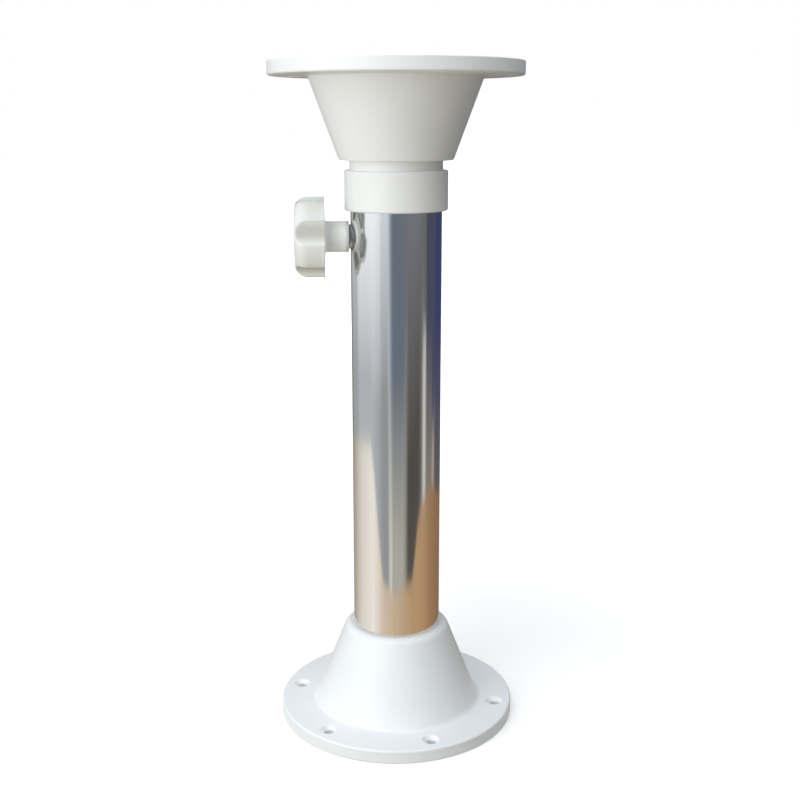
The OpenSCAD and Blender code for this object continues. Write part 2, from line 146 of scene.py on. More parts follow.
def hollow_shade_mask(tree, place, tip, valley):
    """Painted shade mask: 1 in the hollows between the knob's lobes, 0 on its lobes, face and hub."""
    from_axis = add_node(tree, "ShaderNodeMapping", Vector=place, Location=(0, 0, -KNOB_AXIS_Z),
                         Scale=(0, 1, 1))
    radius = add_node(tree, "ShaderNodeVectorMath", {"operation": "LENGTH"})
    tree.links.new(from_axis.outputs["Vector"], radius.inputs[0])
    deep = add_node(tree, "ShaderNodeMapRange", Value=radius.outputs["Value"],
                    From_Min=(tip + valley) / 2, From_Max=valley, To_Min=0.0, To_Max=1.0)
    head = add_node(tree, "ShaderNodeMapRange", Value=radius.outputs["Value"],
                    From_Min=valley * 0.7, From_Max=valley * 0.85, To_Min=0.0, To_Max=1.0)
    facing = add_node(tree, "ShaderNodeTexCoord").outputs["Normal"]
    along = add_node(tree, "ShaderNodeVectorMath", {"operation": "DOT_PRODUCT"})
    tree.links.new(facing, along.inputs[0])
    along.inputs[1].default_value = (-1, 0, 0)
    flank = add_node(tree, "ShaderNodeMapRange", Value=along.outputs["Value"],
                     From_Min=0.3, From_Max=0.7, To_Min=1.0, To_Max=0.0)
    share = deep.outputs["Result"]
    for part in (head, flank):
        product = add_node(tree, "ShaderNodeMath", {"operation": "MULTIPLY"})
        tree.links.new(share, product.inputs[0])
        tree.links.new(part.outputs["Result"], product.inputs[1])
        share = product.outputs[0]
    return share


def moulded_acetal_white(name, colour_a, colour_b, colour_shaded, roughness, tip, valley):
    """White acetal, injection moulded in a polished tool: slightly translucent, a smooth
    gloss with a slight orange peel, and painted shade greying the hollows between the lobes."""
    material, tree, shader, place = new_surface(name)
    shader.inputs["IOR"].default_value = 1.48
    shader.inputs["Subsurface Weight"].default_value = 0.15
    shader.inputs["Subsurface Radius"].default_value = (0.004, 0.004, 0.0036)
    shader.inputs["Subsurface Scale"].default_value = 1.0
    clean = tint(tree, fine_noise(tree, place, 14, 2.0), colour_a, colour_b)
    # Painted shade: the hollows between the lobes are mixed towards a grey, as if shaded by the lobes.
    shaded_hollows = add_node(tree, "ShaderNodeMix", {"data_type": "RGBA"})
    tree.links.new(hollow_shade_mask(tree, place, tip, valley), shaded_hollows.inputs["Factor"])
    tree.links.new(clean, shaded_hollows.inputs["A"])
    shaded_hollows.inputs["B"].default_value = linear(colour_shaded)
    link(tree, shaded_hollows.outputs["Result"], shader, "Base Color")
    link(tree, spread(tree, fine_noise(tree, place, 5, 3.0), roughness - 0.04, roughness + 0.06),
         shader, "Roughness")
    link(tree, bump(tree, fine_noise(tree, place, 3.2, 2.0), 0.015), shader, "Normal")
    return material


def drawn_aluminium(name, colour_a, colour_b, roughness):
    """Aluminium tube, drawn and bright anodised: nearly a mirror, with long shallow
    waves and die lines along the tube. Real die lines are 0.1 mm wide, drawn here at
    1 mm so they show."""
    material, tree, shader, place = new_surface(name)
    shader.inputs["Metallic"].default_value = 1.0
    lines = fine_noise(tree, place, 1.0, 2.0, (1, 1, 0.004))
    haze = fine_noise(tree, place, 22, 3.0, (1, 1, 0.3))
    link(tree, tint(tree, lines, colour_a, colour_b), shader, "Base Color")
    link(tree, spread(tree, haze, roughness - 0.02, roughness + 0.03), shader, "Roughness")
    waves = bump(tree, fine_noise(tree, place, 14, 1.0, (1, 1, 0.1)), 0.045)
    link(tree, bump(tree, lines, 0.0012, waves), shader, "Normal")
    return material


def turned_aluminium(name, colour_a, colour_b):
    """Aluminium plug, turned on a lathe: rings about the column's axis, 0.4 mm apart."""
    material, tree, shader, place = new_surface(name)
    shader.inputs["Metallic"].default_value = 1.0
    shader.inputs["Roughness"].default_value = 0.34
    rings = add_node(tree, "ShaderNodeTexWave",
                     {"wave_type": "RINGS", "rings_direction": "Z"},
                     Vector=place, Scale=per_metre(0.4) / 20, Distortion=0.4).outputs["Fac"]
    link(tree, tint(tree, rings, colour_a, colour_b), shader, "Base Color")
    link(tree, bump(tree, rings, 0.01), shader, "Normal")
    return material


def zinc_plated_steel(name, colour_a, colour_b):
    """Steel hardware, barrel plated in zinc: a soft grey metal with small mottled
    patches, 1.5 mm across, that differ in sheen."""
    material, tree, shader, place = new_surface(name)
    shader.inputs["Metallic"].default_value = 1.0
    patches = fine_noise(tree, place, 1.5, 4.0)
    link(tree, tint(tree, patches, colour_a, colour_b), shader, "Base Color")
    link(tree, spread(tree, patches, 0.28, 0.42), shader, "Roughness")
    link(tree, bump(tree, fine_noise(tree, place, 0.6, 2.0), 0.006), shader, "Normal")
    return material


def machined_nylon(name, colour_a, colour_b):
    """Natural nylon bush, turned from bar: ivory, waxy and matte, with faint tool rings."""
    material, tree, shader, place = new_surface(name)
    shader.inputs["IOR"].default_value = 1.53
    shader.inputs["Subsurface Weight"].default_value = 0.08
    shader.inputs["Subsurface Radius"].default_value = (0.002, 0.002, 0.0018)
    shader.inputs["Subsurface Scale"].default_value = 1.0
    rings = fine_noise(tree, place, 0.8, 1.0, (0.02, 0.02, 1))
    link(tree, tint(tree, fine_noise(tree, place, 9, 2.0), colour_a, colour_b),
         shader, "Base Color")
    link(tree, spread(tree, rings, 0.42, 0.52), shader, "Roughness")
    link(tree, bump(tree, rings, 0.008), shader, "Normal")
    return material


# Meshes made of rings of points round an axis

def ring_loft(name, rings, place, material):
    """Closed mesh through rings of equal count, with both ends closed by a fan.
    The rings run outwards along local Z, and place puts them in the frame."""
    count = len(rings[0])
    mesh = bpy.data.meshes.new(name)
    points = [p for ring in rings for p in ring]
    start, end = len(points), len(points) + 1
    points += [centre_of(rings[0]), centre_of(rings[-1])]
    faces = []
    for k in range(len(rings) - 1):
        a, b = k * count, (k + 1) * count
        faces += [(a + i, a + (i + 1) % count, b + (i + 1) % count, b + i) for i in range(count)]
    last = (len(rings) - 1) * count
    faces += [(start, (i + 1) % count, i) for i in range(count)]
    faces += [(end, last + i, last + (i + 1) % count) for i in range(count)]
    mesh.from_pydata([place @ Vector(p) for p in points], [], faces)
    mesh.materials.append(material)
    return finished(name, mesh)


def centre_of(ring):
    return tuple(sum(p[i] for p in ring) / len(ring) for i in range(3))


def finished(name, mesh, crease=math.radians(35)):
    """Object for a mesh, with outward faces, smooth apart from its creases."""
    edit = bmesh.new()
    edit.from_mesh(mesh)
    bmesh.ops.remove_doubles(edit, verts=edit.verts, dist=1e-7)
    bmesh.ops.dissolve_degenerate(edit, edges=edit.edges, dist=1e-7)
    bmesh.ops.recalc_face_normals(edit, faces=edit.faces)
    for face in edit.faces:
        face.smooth = True
    for edge in edit.edges:
        edge.smooth = len(edge.link_faces) == 2 and edge.calc_face_angle(0) < crease
    edit.to_mesh(mesh)
    edit.free()
    piece = bpy.data.objects.new(name, mesh)
    bpy.context.scene.collection.objects.link(piece)
    return piece


def polar_ring(count, z, radius):
    """Ring at height z, whose radius is a number or a function of the angle."""
    turn = 2 * math.pi / count
    size = radius if callable(radius) else (lambda angle: radius)
    return [(size(i * turn) * math.cos(i * turn), size(i * turn) * math.sin(i * turn), z)
            for i in range(count)]


def corner(z, r, size, start, stop, steps=5):
    """(z, r) points on a quarter round of radius size about (z, r), between two angles."""
    return [(z + size * math.sin(start + (stop - start) * i / steps),
             r + size * math.cos(start + (stop - start) * i / steps)) for i in range(steps + 1)]


def on_knob_axis():
    """Local Z runs out along the knob's axis, -X, and local X points up."""
    turn = Matrix(((0, 0, -1), (0, 1, 0), (1, 0, 0))).to_4x4()
    return Matrix.Translation((0, 0, KNOB_AXIS_Z)) @ turn


def node_span(node):
    """Distances from the column's axis at which a node on the knob's axis starts and ends."""
    low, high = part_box(node)
    return -high.x, -low.x


# Sizes and colours that a user would change

class PedestalFinish(bpy.types.PropertyGroup):
    moulding_roughness: FloatProperty(name="Moulding roughness", description="Roughness of the white mouldings",
                                      default=0.36, min=0.1, max=0.8)
    knob_roughness: FloatProperty(name="Knob roughness", description="Roughness of the knob",
                                  default=0.30, min=0.1, max=0.8)
    tube_roughness: FloatProperty(name="Tube roughness", description="Roughness of the drawn tubes",
                                  default=0.10, min=0.03, max=0.5)


class PedestalKnob(bpy.types.PropertyGroup):
    lobes: IntProperty(name="Lobes", description="Number of lobes on the knob", default=5, min=4, max=6)
    tip: FloatProperty(name="Tip radius", description="Radius to the tip of a lobe",
                       default=27.1 * MM, unit="LENGTH")
    valley: FloatProperty(name="Valley radius", description="Radius to the bottom of a hollow",
                          default=21.8 * MM, unit="LENGTH")
    lobe: FloatProperty(name="Lobe radius", description="Radius of a lobe's outer curve",
                        default=18 * MM, unit="LENGTH")
    hollow: FloatProperty(name="Hollow radius", description="Radius of the hollow between two lobes",
                          default=10.5 * MM, unit="LENGTH")
    edge: FloatProperty(name="Edge radius", description="Rounding where a lobe meets a hollow",
                        default=1.5 * MM, unit="LENGTH")
    head: FloatProperty(name="Head thickness", description="Thickness of the knob's head",
                        default=20.3 * MM, unit="LENGTH")
    hub: FloatProperty(name="Hub radius", description="Radius of the knob's hub",
                       default=10.1 * MM, unit="LENGTH")
    turn: FloatProperty(name="Turn", description="Turn of the lobes from the vertical",
                        default=math.radians(29), subtype="ANGLE")


class PedestalThreads(bpy.types.PropertyGroup):
    stud_pitch: FloatProperty(name="Stud pitch", description="Pitch of the knob's stud",
                              default=1.5 * MM, unit="LENGTH")
    bolt_pitch: FloatProperty(name="Bolt pitch", description="Pitch of the two bolts",
                              default=1.25 * MM, unit="LENGTH")
    bolt_flats: FloatProperty(name="Across flats", description="Width of the bolt heads",
                              default=13 * MM, unit="LENGTH")


class PedestalStage(bpy.types.PropertyGroup):
    camera_distance: FloatProperty(name="Camera distance", description="Distance from the column, level",
                                   default=0.7692, unit="LENGTH")
    camera_height: FloatProperty(name="Camera height", description="Height above the foot's face",
                                 default=0.4143, unit="LENGTH")
    camera_side: FloatProperty(name="Camera side", description="Turn towards the knob",
                               default=math.radians(4), subtype="ANGLE")
    camera_pitch: FloatProperty(name="Camera pitch", description="Tilt below the horizon",
                                default=math.radians(13.655), subtype="ANGLE")
    camera_aim: FloatProperty(name="Camera aim", description="Turn to the right of the column",
                              default=math.radians(0.184), subtype="ANGLE")
    lens: FloatProperty(name="Lens", description="Focal length on a 36 mm sensor, in mm",
                        default=52.1, min=20, max=200)
    floor_colour: FloatVectorProperty(name="Floor colour", description="Colour of the floor as seen",
                                      subtype="COLOR", size=3, default=linear("F4F4F2")[:3])
    bounce_colour: FloatVectorProperty(name="Bounce colour", description="Colour of the light off the floor",
                                       subtype="COLOR", size=3, default=linear("B0A798")[:3])


# The knob

def lobe_radius(knob, inset=0.0):
    """Radius of the lobed outline as a function of the angle: broad lobes, a round
    hollow between each two and a rounded edge where they meet, moved inwards by inset."""
    half = math.pi / knob.lobes
    lobe, hollow = knob.lobe - inset, knob.hollow + inset
    edge = knob.edge / 3 if inset else knob.edge
    lobe_at = Vector((knob.tip - knob.lobe, 0))
    hollow_at = Vector((math.cos(half), math.sin(half))) * (knob.valley + knob.hollow)
    apart = (hollow_at - lobe_at).length
    along = (hollow_at - lobe_at) / apart
    step = ((lobe - edge) ** 2 - (hollow + edge) ** 2 + apart ** 2) / (2 * apart)
    aside = math.sqrt((lobe - edge) ** 2 - step ** 2)
    edge_at = lobe_at + along * step + Vector((along.y, -along.x)) * aside
    from_lobe = lobe_at + (edge_at - lobe_at).normalized() * lobe
    to_hollow = edge_at + (hollow_at - edge_at).normalized() * edge

    def radius(angle):
        off = abs((angle - knob.turn + half) % (2 * half) - half)
        centre, size, side = lobe_at, lobe, 1
        if off > math.atan2(to_hollow.y, to_hollow.x):
            centre, size, side = hollow_at, hollow, -1
        elif off > math.atan2(from_lobe.y, from_lobe.x):
            centre, size = edge_at, edge
        across = centre.x * math.sin(off) - centre.y * math.cos(off)
        level = centre.x * math.cos(off) + centre.y * math.sin(off)
        return level + side * math.sqrt(size ** 2 - across ** 2)
    return radius


def soft_min(a, b, blend):
    """The smaller of two lengths, with the corner between them rounded."""
    h = max(blend - abs(a - b), 0) / blend
    return min(a, b) - h * h * blend / 4


def knob_rings(knob, count=720):
    """Rings from the bottom of the stud's bore, along the hub and round the head."""
    hub_in, head_out = node_span("knob_body")
    bore = (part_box("knob_stud")[1].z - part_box("knob_stud")[0].z) / 2 + 0.03 * MM
    bore_end = node_span("knob_stud")[1] + 0.03 * MM
    head_in = head_out - knob.head
    edge, chamfer, fillet, crown = 0.8 * MM, 0.5 * MM, 1.6 * MM, 0.7 * MM
    shoulder, shoulder_h = 11.4 * MM, 10 * MM
    outline = lobe_radius(knob)
    rings = [polar_ring(count, bore_end, bore), polar_ring(count, hub_in + chamfer, bore),
             polar_ring(count, hub_in, bore + chamfer)]
    rings += [polar_ring(count, z, r) for z, r in
              corner(hub_in + chamfer, knob.hub - chamfer, chamfer, -math.pi / 2, 0)]
    rings += [polar_ring(count, z, r) for z, r in
              corner(head_in - fillet, knob.hub + fillet, fillet, math.pi, math.pi / 2)]
    for step in (0.25, 0.5, 0.75):
        start, stop = knob.hub + fillet, lambda a: outline(a) - edge
        rings.append(polar_ring(count, head_in, lambda a, s=step: start + (stop(a) - start) * s))
    for z, r in corner(head_in + edge, -edge, edge, -math.pi / 2, 0):
        rings.append(polar_ring(count, z, lambda a, inward=r: outline(a) + inward))
    base = head_out - crown - shoulder_h
    dome = [(base - (base - head_in - 2 * edge) * (1 - i / 6), knob.tip + 0.02 * MM) for i in range(6)]
    sweep = math.asin(shoulder_h / shoulder)
    dome += corner(base, knob.tip - shoulder, shoulder, 0, sweep * 0.96, 18)
    face_z, face_r = dome[-1]
    for i in range(1, 5):
        lean = sweep + (math.pi / 2 - sweep) * i / 4
        face_z += 0.5 * MM * math.cos(lean)
        face_r -= 0.5 * MM * math.sin(lean)
        dome.append((face_z, face_r))
    for i in range(1, 12):
        share = 1 - i / 12
        dome.append((head_out - (head_out - face_z) * share ** 2, face_r * share))
    rings += [polar_ring(count, z, lambda a, r=r: soft_min(outline(a), r, 1.6 * MM)) for z, r in dome]
    return rings


def knob_pocket(knob, index, depth, wall, rib):
    """Prism for one pocket in the knob's back, between two ribs, narrower at its floor."""
    half = math.pi / knob.lobes
    outer = lobe_radius(knob, wall)
    middle = knob.turn + 2 * half * index
    head_in = node_span("knob_body")[1] - knob.head

    def loop(shrink, z):
        inner = knob.hub + 1.8 * MM + shrink
        edge_in = half - math.asin((rib / 2 + shrink) / inner)
        start = [(inner, middle + edge_in * (1 - i / 8)) for i in range(17)]
        span = half - math.asin((rib / 2 + shrink) / (knob.valley - wall))
        stop = [(outer(middle + span * t) - shrink, middle + span * t)
                for t in (-1 + i / 16 for i in range(33))]
        return [(r * math.cos(a), r * math.sin(a), z) for r, a in start + stop]
    levels = [(0, head_in - 2 * MM), (0, head_in + 0.2 * MM), (0.35 * MM, head_in + depth - 0.8 * MM),
              (0.6 * MM, head_in + depth - 0.25 * MM), (1.1 * MM, head_in + depth)]
    return [loop(shrink, z) for shrink, z in levels]


def make_knob(knob, material):
    """Star knob with soft edges and a cored pocket in the back of each lobe."""
    place = on_knob_axis()
    body = ring_loft("star_knob", knob_rings(knob), place, material)
    for index in range(knob.lobes):
        rings = knob_pocket(knob, index, depth=12 * MM, wall=3 * MM, rib=3 * MM)
        cutter = ring_loft("pocket_cutter", rings, place, material)
        cut = body.modifiers.new("pocket", "BOOLEAN")
        cut.operation, cut.object, cut.solver = "DIFFERENCE", cutter, "EXACT"
        apply_modifiers(body)
        bpy.data.objects.remove(cutter)
    return body


def apply_modifiers(piece):
    """Turns the piece's modifiers into its mesh."""
    graph = bpy.context.evaluated_depsgraph_get()
    mesh = bpy.data.meshes.new_from_object(piece.evaluated_get(graph))
    piece.modifiers.clear()
    piece.data = mesh


# Threads and bolts

def thread_rings(start, stop, radius, pitch, count=48, steps=12):
    """Rings of a right-hand thread, which fades out at both ends."""
    depth = 0.61 * pitch
    rows = int((stop - start) / pitch * steps)
    rings = []
    for k in range(rows + 1):
        z = start + (stop - start) * k / rows
        fade = min(1, (z - start) / pitch, (stop - z) / pitch)

        def radius_at(angle, z=z, fade=fade):
            phase = ((z / pitch) - angle / (2 * math.pi)) % 1
            cut = max(0, 1 - abs(phase - 0.5) * 2 / 0.875)
            return radius - depth * cut * fade
        rings.append(polar_ring(count, z, radius_at))
    return rings


def make_stud(threads, material):
    """The knob's stud: pointed nose with the pad's hole, rolled thread, plain root."""
    start, stop = node_span("knob_stud")
    low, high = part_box("knob_stud")
    radius = (high.z - low.z) / 2
    hole = 1.55 * MM
    hub_in = node_span("knob_body")[0]
    count, point = 48, 0.8 * MM
    rings = [polar_ring(count, start + 4.3 * MM, hole), polar_ring(count, start, hole),
             polar_ring(count, start, radius - point)]
    rings += thread_rings(start + point, hub_in + 2 * MM, radius - 0.02 * MM, threads.stud_pitch, count)
    rings += [polar_ring(count, hub_in + 3 * MM, radius), polar_ring(count, stop, radius)]
    return ring_loft("clamp_stud", rings, on_knob_axis(), material)


def make_bolt(name, threads, node, upwards, material):
    """Hexagon bolt with a chamfered head, a washer face and a rolled thread."""
    low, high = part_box(node)
    head, radius, count = 5.3 * MM, 4 * MM, 96
    flats = threads.bolt_flats / 2
    length = high.z - low.z

    def hexagon(angle):
        return flats / math.cos((angle + math.pi / 6) % (math.pi / 3) - math.pi / 6)

    def head_ring(z, cone):
        return polar_ring(count, z, lambda a: min(hexagon(a), cone))
    rings = [polar_ring(count, 0, flats * 0.93), head_ring(0, flats * 0.95)]
    rings += [head_ring(0.35 * MM * i, flats * 0.95 + 0.6 * MM * i) for i in (1, 2, 3)]
    rings += [head_ring(head - 0.3 * MM, flats * 2), head_ring(head - 0.25 * MM, flats * 0.97)]
    rings += [polar_ring(count, head, flats * 0.95), polar_ring(count, head, radius + 0.3 * MM),
              polar_ring(count, head + 0.3 * MM, radius), polar_ring(count, head + 3 * MM, radius)]
    rings += thread_rings(head + 3.1 * MM, length - 0.6 * MM, radius, threads.bolt_pitch, count)
    rings.append(polar_ring(count, length, radius - 0.75 * MM))
    if upwards:
        place = Matrix.Translation((0, 0, low.z))
    else:
        place = Matrix.Translation((0, 0, high.z)) @ Matrix.Rotation(math.pi, 4, "X")
    return ring_loft(name, rings, place, material)


# Dressing the frame's own nodes

def dress(material, *nodes):
    """Gives CAD nodes a material in every slot that they have."""
    for node in nodes:
        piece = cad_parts[node]
        if not piece.material_slots:
            piece.data.materials.append(material)
        for slot in piece.material_slots:
            slot.material = material


class PEDESTAL_OT_mouldings(bpy.types.Operator):
    """Dress the foot, the top mount and the collar as white nylon mouldings"""
    bl_idname = "pedestal.mouldings"
    bl_label = "Dress mouldings"

    def execute(self, context):
        rough = context.scene.pedestal_finish.moulding_roughness
        # The foot's white is a little cooler than the top's: painted cool light on the same nylon.
        dress(moulded_nylon_white("foot_moulded_nylon", "EEF2F4", "F3F5F6", rough), "base_flange")
        dress(moulded_nylon_white("top_moulded_nylon", "F0F2F1", "F4F5F4", rough), "top_mount", "collar")
        return {"FINISHED"}


class PEDESTAL_OT_tubes(bpy.types.Operator):
    """Dress both tubes as bright drawn aluminium"""
    bl_idname = "pedestal.tubes"
    bl_label = "Dress tubes"

    def execute(self, context):
        rough = context.scene.pedestal_finish.tube_roughness
        dress(drawn_aluminium("outer_drawn_aluminium", "E9EAEB", "F3F4F5", rough), "outer_tube")
        dress(drawn_aluminium("inner_drawn_aluminium", "DFE0E2", "ECEDEE", rough + 0.05), "inner_tube")
        return {"FINISHED"}


class PEDESTAL_OT_bushes(bpy.types.Operator):
    """Dress the bushes, the ring, the piston and the pad as nylon"""
    bl_idname = "pedestal.bushes"
    bl_label = "Dress bushes"

    def execute(self, context):
        nylon = machined_nylon("bush_turned_nylon", "ECEBE4", "F1F0EA")
        dress(nylon, "base_bush", "guide_sleeve", "glide_ring", "end_piston", "thrust_pad")
        return {"FINISHED"}


class PEDESTAL_OT_hardware(bpy.types.Operator):
    """Dress the plugs and the zinc plated hardware, and make the threaded pieces"""
    bl_idname = "pedestal.hardware"
    bl_label = "Dress hardware"

    def execute(self, context):
        threads = context.scene.pedestal_threads
        zinc = zinc_plated_steel("hardware_zinc_steel", "A9ACB0", "C3C6C9")
        dress(turned_aluminium("plug_turned_aluminium", "B9BBBE", "CFD1D3"), "tube_plug", "top_plug")
        dress(zinc, "base_washer", "base_spring_washer", "top_washer", "top_spring_washer",
              "clamp_insert")
        for name, node, body, upwards in (("foot_bolt", "base_bolt", "base", True),
                                          ("head_bolt", "top_bolt", "column", False)):
            bolt = make_bolt(name, threads, node, upwards, zinc)
            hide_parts(node)
            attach(bolt, body)
        stud = make_stud(threads, zinc)
        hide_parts("knob_stud")
        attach(stud, "knob")
        return {"FINISHED"}


class PEDESTAL_OT_knob(bpy.types.Operator):
    """Make the star knob that replaces the plain one"""
    bl_idname = "pedestal.knob"
    bl_label = "Make knob"

    def execute(self, context):
        scene = context.scene
        sizes = scene.pedestal_knob
        # CBCBC3 is the painted shade in the knob's hollows.
        acetal = moulded_acetal_white("knob_moulded_acetal", "E4E7E4", "EAEBE8", "CBCBC3",
                                      scene.pedestal_finish.knob_roughness, sizes.tip, sizes.valley)
        knob = make_knob(sizes, acetal)
        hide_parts("knob_body")
        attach(knob, "knob")
        return {"FINISHED"}


# The stage

def seen_directly(tree):
    """1 for rays from the camera and through gloss or glass, 0 for bounced light."""
    path = add_node(tree, "ShaderNodeLightPath")
    total = path.outputs["Is Camera Ray"]
    for name in ("Is Glossy Ray", "Is Transmission Ray"):
        step = add_node(tree, "ShaderNodeMath", {"operation": "MAXIMUM"})
        tree.links.new(total, step.inputs[0])
        tree.links.new(path.outputs[name], step.inputs[1])
        total = step.outputs[0]
    return total


def mix_by(tree, factor, plain, seen):
    """Shader that is seen where the factor is 1 and plain where it is 0."""
    mixed = add_node(tree, "ShaderNodeMixShader", Fac=factor)
    tree.links.new(plain.outputs[0], mixed.inputs[1])
    tree.links.new(seen.outputs[0], mixed.inputs[2])
    return mixed.outputs[0]


def floor_surface(seen_colour, bounce_colour):
    """Floor that looks white outside the object's shadow, and that sends the warm
    light of a table back up at the object. The lift towards white grows with the
    distance from the column, where the lamps no longer reach."""
    material = bpy.data.materials.new("stage_floor")
    material.use_nodes = True
    tree = material.node_tree
    tree.nodes.clear()
    white = add_node(tree, "ShaderNodeBsdfDiffuse", Color=(*seen_colour, 1.0))
    place = add_node(tree, "ShaderNodeTexCoord").outputs["Object"]
    away = add_node(tree, "ShaderNodeVectorMath", {"operation": "LENGTH"})
    tree.links.new(place, away.inputs[0])
    glow = add_node(tree, "ShaderNodeMapRange", Value=away.outputs["Value"], From_Min=0.2,
                    From_Max=1.2, To_Min=0.27, To_Max=1.0)
    lift = add_node(tree, "ShaderNodeEmission", Color=(1, 1, 1, 1), Strength=glow.outputs["Result"])
    lifted = add_node(tree, "ShaderNodeAddShader")
    tree.links.new(white.outputs[0], lifted.inputs[0])
    tree.links.new(lift.outputs[0], lifted.inputs[1])
    warm = add_node(tree, "ShaderNodeBsdfDiffuse", Color=(*bounce_colour, 1.0))
    out = add_node(tree, "ShaderNodeOutputMaterial")
    tree.links.new(mix_by(tree, seen_directly(tree), warm, lifted), out.inputs["Surface"])
    return material


def white_world(scene):
    """World that looks white and lights the object at a plain level."""
    world = bpy.data.worlds.new("stage_world")
    world.use_nodes = True
    scene.world = world
    tree = world.node_tree
    tree.nodes.clear()
    ambient = add_node(tree, "ShaderNodeBackground", Color=linear("EAF0F4"), Strength=0.37)
    white = add_node(tree, "ShaderNodeBackground", Color=(1, 1, 1, 1), Strength=1.0)
    out = add_node(tree, "ShaderNodeOutputWorld")
    tree.links.new(mix_by(tree, seen_directly(tree), ambient, white), out.inputs["Surface"])


def stage_direction(stage, degrees_right):
    """Level direction from the column, counted to the right from the camera's side."""
    angle = -math.pi / 2 - stage.camera_side + math.radians(degrees_right)
    return Vector((math.cos(angle), math.sin(angle), 0))


def glow_card(name, corners, colours):
    """Card of quads that only gloss sees, glowing with a colour at each corner."""
    mesh = bpy.data.meshes.new(name)
    mesh.from_pydata(corners, [], [tuple(range(4 * i, 4 * i + 4)) for i in range(len(corners) // 4)])
    layer = mesh.color_attributes.new("glow", "FLOAT_COLOR", "POINT")
    for i, colour in enumerate(colours):
        layer.data[i].color = colour
    material = bpy.data.materials.new(name)
    material.use_nodes = True
    tree = material.node_tree
    tree.nodes.clear()
    glow = add_node(tree, "ShaderNodeVertexColor", {"layer_name": "glow"})
    light = add_node(tree, "ShaderNodeEmission", Color=glow.outputs["Color"], Strength=1.0)
    out = add_node(tree, "ShaderNodeOutputMaterial")
    tree.links.new(light.outputs[0], out.inputs["Surface"])
    mesh.materials.append(material)
    card = bpy.data.objects.new(name, mesh)
    bpy.context.scene.collection.objects.link(card)
    card.visible_camera = False
    card.visible_diffuse = False
    card.visible_transmission = False
    card.visible_volume_scatter = False
    card.visible_shadow = False
    return card


# The room that the metal mirrors. Directions are degrees to the right of the camera,
# seen from the column. Each wall has a low and a high colour, and the heights in mm
# between which the one turns into the other. Next to each other, walls blend.
WALLS = (
    (-180, -158, "70726F", "6E706E", 100, 300),   # shade behind the column
    (-140, -120, "A4A6A6", "C6CACA", 100, 300),   # back wall
    (-108, -60, "B6BABE", "FAFDFF", 90, 290),     # window
    (-46, -44, "AAACB0", "F2F8FC", 140, 330),     # curtain beside the window
    (-33, -21, "989A9A", "DCE4EA", 180, 360),     # locker
    (-14, -13, "DAD8CE", "8E969E", 40, 190),      # post
    (-9, 17, "B2B0A4", "6C747E", 40, 200),        # front wall
    (29, 58, "54504A", "78797E", 120, 330),       # dark doorway
    (65, 67, "706E6A", "707070", 120, 330),
    (72, 78, "CCCAC4", "6C6C6C", 170, 215),       # strip lamp
    (82, 100, "8A8278", "4C4E60", 0, 200),        # cupboard
    (107, 112, "A89E94", "4C4E68", 50, 90),       # ledge
    (117, 164, "66625E", "3E4468", 0, 200),       # navy curtain
    (176, 180, "70726F", "6E706E", 100, 300),
)
WALL_HEIGHT = 900 * MM

# Distance of the wall from the column, in mm, which is also where the table ends
WALL_REACH = ((-180, 740), (-70, 740), (-60, 625), (-50, 450), (-42, 354), (-34, 282), (-10, 260),
              (5, 260), (40, 288), (48, 350), (57, 440), (66, 491), (100, 560), (125, 520), (150, 500),
              (180, 600))

# Colour of the warm table that the lower half of the tube mirrors
TABLE = ((-180, "8C7C6C"), (-135, "B6AC9C"), (-100, "E6DED0"), (-60, "F8F0E4"), (-34, "DAC8B4"),
         (-10, "D0B89C"), (35, "BE9E78"), (70, "B8946E"), (96, "A07E5C"), (135, "8E7058"),
         (180, "8C7C6C"))
TABLE_START = 90 * MM
TABLE_LIFT = 0.6 * MM


def between(stations, x):
    """Value at x in a table of (x, value) pairs, where a value is a tuple of numbers."""
    for (x0, low), (x1, high) in zip(stations, stations[1:]):
        if x0 <= x <= x1:
            t = (x - x0) / (x1 - x0)
            return tuple(a + (b - a) * t for a, b in zip(low, high))


def make_room(stage):
    """The walls and the table, as two glowing cards in strips of 2 degrees."""
    edges = [(edge, wall) for wall in WALLS for edge in wall[:2]]
    low = [(edge, linear(wall[2])) for edge, wall in edges]
    high = [(edge, linear(wall[3])) for edge, wall in edges]
    rise = [(edge, (0, wall[4] * MM, wall[5] * MM, WALL_HEIGHT)) for edge, wall in edges]
    reach = [(edge, (distance * MM,)) for edge, distance in WALL_REACH]
    table = [(edge, linear(colour)) for edge, colour in TABLE]
    up = Vector((0, 0, 1))
    wall_corners, wall_colours, table_corners, table_colours = [], [], [], []
    for start in range(-180, 180, 2):
        sides = (start, start + 2)
        foot = [stage_direction(stage, side) * between(reach, side)[0] for side in sides]
        near = [stage_direction(stage, side) * TABLE_START for side in sides]
        heights = [between(rise, side) for side in sides]
        tones = [[between(low, side)] * 2 + [between(high, side)] * 2 for side in sides]
        for k in range(3):
            wall_corners += [foot[i] + up * heights[i][n] for i, n in ((0, k), (1, k), (1, k + 1), (0, k + 1))]
            wall_colours += [tones[i][n] for i, n in ((0, k), (1, k), (1, k + 1), (0, k + 1))]
        table_corners += [p + up * TABLE_LIFT for p in (near[0], near[1], foot[1] * 1.02, foot[0] * 1.02)]
        colours = [between(table, side) for side in sides]
        table_colours += [*colours, *reversed(colours)]
    glow_card("room_walls", wall_corners, wall_colours)
    glow_card("room_table", table_corners, table_colours)


def add_softbox(stage, name, right, height, distance, size, power, colour):
    """Area lamp that faces the middle of the column."""
    place = stage_direction(stage, right) * distance + Vector((0, 0, height))
    add_lamp(name, place, Vector((0, 0, 0.22)), size, power, colour)


